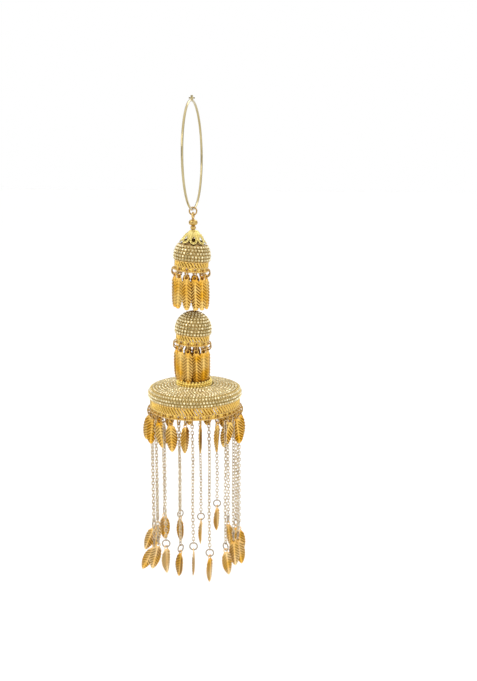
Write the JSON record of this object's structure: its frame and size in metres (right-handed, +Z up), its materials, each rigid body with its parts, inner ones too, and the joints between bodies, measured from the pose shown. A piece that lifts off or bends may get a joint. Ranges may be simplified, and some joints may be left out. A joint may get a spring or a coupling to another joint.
{
  "type": "kalire bridal ornament",
  "caption": "Long bridal ear drop: ear hoop, two small stone-set domes with leaf fringes and a wide drum hung with fine chains that end in leaves.",
  "frame": {"origin": "middle of the wire at the top of the ear hoop, where the ear holds the ornament", "axes": "+Z up. The hoop stands 4.5 degrees off the YZ plane and the jump ring lies in the XZ plane. The picture looks along +Y from about 12 degrees to the +X side."},
  "size_m": [0.0473, 0.0498, 0.2305],
  "materials": {
    "bright_gold_wire": "polished gold plate on round wire",
    "gold_findings": "polished gold plate",
    "bright_gold_cap": "bright yellow gold plate, pierced and beaded",
    "champagne_stones": "rows of small champagne stones in metal cups",
    "gold_bands": "pierced gold-plated band with round edge wires",
    "gold_leaves": "rich satin gold plate on stamped leaves with raised veins",
    "pale_chain": "pale gold fine cable chain"
  },
  "bodies": {
    "hoop": {"ear_hoop": "bright_gold_wire"},
    "link": {"jump_ring": "bright_gold_wire"},
    "drop": {"center_pin": "gold_findings", "round_bead": "gold_findings", "small_bead": "gold_findings", "petal_cap": "bright_gold_cap", "upper_dome": "gold_bands", "upper_dome_stones": "champagne_stones", "upper_leaf_rings": "gold_findings", "upper_leaves": "gold_leaves", "lower_dome": "gold_bands", "lower_dome_stones": "champagne_stones", "lower_leaf_rings": "gold_findings", "lower_leaves": "gold_leaves", "leaf_collar": "bright_gold_cap", "drum": "gold_bands", "drum_stones": "champagne_stones", "drum_rings": "gold_findings", "drum_leaves": "gold_leaves", "chain_end_rings": "pale_chain", "chain_01": "pale_chain", "chain_02": "pale_chain", "chain_03": "pale_chain", "chain_04": "pale_chain", "chain_05": "pale_chain", "chain_06": "pale_chain", "chain_07": "pale_chain", "chain_08": "pale_chain", "chain_09": "pale_chain", "chain_10": "pale_chain", "chain_11": "pale_chain", "chain_12": "pale_chain", "chain_13": "pale_chain", "chain_14": "pale_chain", "chain_15": "pale_chain", "chain_16": "pale_chain", "chain_17": "pale_chain", "chain_18": "pale_chain", "chain_leaf_01": "gold_leaves", "chain_leaf_02": "gold_leaves", "chain_leaf_03": "gold_leaves", "chain_leaf_04": "gold_leaves", "chain_leaf_05": "gold_leaves", "chain_leaf_06": "gold_leaves", "chain_leaf_07": "gold_leaves", "chain_leaf_08": "gold_leaves", "chain_leaf_09": "gold_leaves", "chain_leaf_10": "gold_leaves", "chain_leaf_11": "gold_leaves", "chain_leaf_12": "gold_leaves", "chain_leaf_13": "gold_leaves", "chain_leaf_14": "gold_leaves", "chain_leaf_15": "gold_leaves", "chain_leaf_16": "gold_leaves", "chain_leaf_17": "gold_leaves", "chain_leaf_18": "gold_leaves"}
  },
  "joints": [
    {"name": "ring_swing", "type": "hinge", "parent": "hoop", "child": "link", "pos_m": [0, 0, -0.0489], "axis": [0, 1, 0], "range_deg": [-35, 35]},
    {"name": "drop_swing", "type": "hinge", "parent": "link", "child": "drop", "pos_m": [0, 0, -0.0514], "axis": [1, 0, 0], "range_deg": [-35, 35]}
  ]
}
